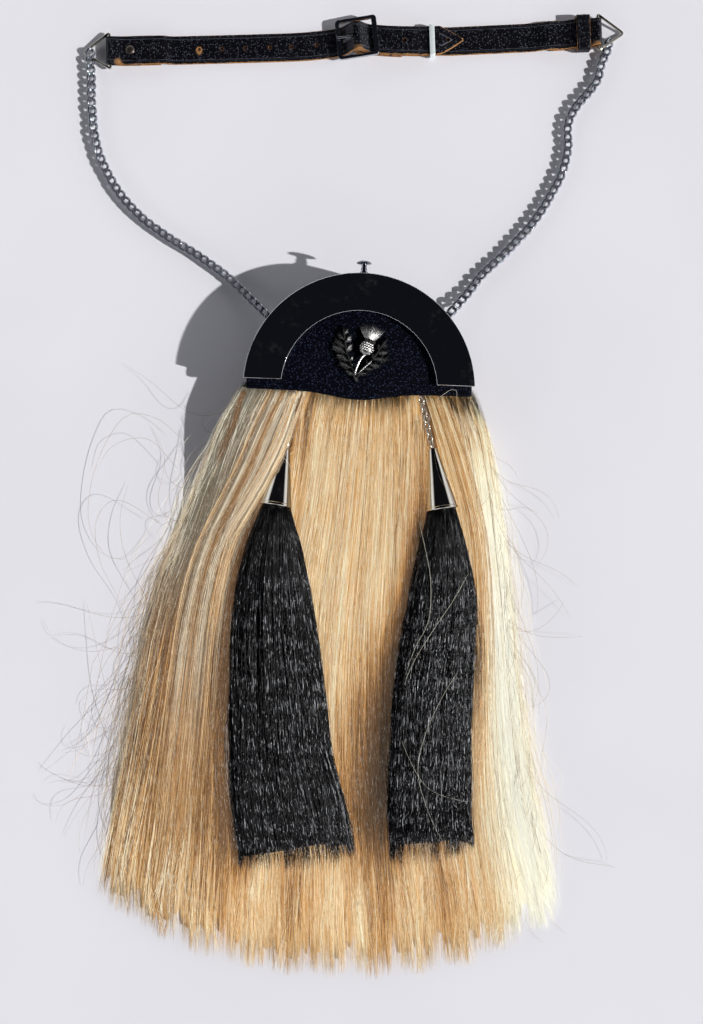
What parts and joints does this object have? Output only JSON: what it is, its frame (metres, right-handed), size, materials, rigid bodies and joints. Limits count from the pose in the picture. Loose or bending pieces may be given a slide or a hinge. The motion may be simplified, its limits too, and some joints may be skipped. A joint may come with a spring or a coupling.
{
  "type": "sporran pouch",
  "caption": "Horsehair sporran lying on its back: chrome arch cantle with a thistle badge on a flat leather pouch, long hair skirt, hair tassels in cones, and a buckled chain and strap belt.",
  "frame": {"origin": "on the back flap's flat face, under the centre of the cantle's arch", "axes": "+X to the right and +Y up the front as one faces it, +Z out of the front; the object lies on its back on the XY plane"},
  "size_m": [0.3653, 0.661, 0.0345],
  "materials": {
    "arch_chrome": "mirror-polished plate with fine scratches",
    "dark_chrome": "polished, handled, slightly dulled",
    "bright_steel": "polished",
    "antique_silver": "dark antiqued casting with rubbed high spots",
    "face_leather": "blue-black, finely stippled, semi-matt",
    "pouch_leather": "black, fine grain, semi-matt",
    "strap_leather": "black grained, creased near its edges, with worn tan edges",
    "blond_hair": "long glossy horsehair, golden with cream streaks",
    "black_hair": "long glossy black horsehair"
  },
  "bodies": {
    "root": {"cantle_band": "arch_chrome", "cantle_face": "face_leather", "top_knob": "dark_chrome", "thistle_badge": "antique_silver", "pouch_shell": "pouch_leather", "pouch_flap": "pouch_leather", "hanger_eye_left": "dark_chrome", "hanger_eye_right": "dark_chrome", "strap_billet": "strap_leather", "strap_buckle_side": "strap_leather", "strap_end_loop": "strap_leather", "strap_keeper": "bright_steel", "strap_rivet": "dark_chrome", "strap_ring_left": "bright_steel", "strap_ring_right": "bright_steel", "buckle_frame": "dark_chrome", "buckle_prong": "dark_chrome", "belt_chain_left": "dark_chrome", "belt_chain_right": "dark_chrome", "hair_skirt": "blond_hair", "tassel_chain_left": "bright_steel", "tassel_chain_right": "bright_steel", "tassel_cone_left": "bright_steel", "tassel_cone_right": "bright_steel", "tassel_hair_left": "black_hair", "tassel_hair_right": "black_hair"}
  },
  "joints": []
}
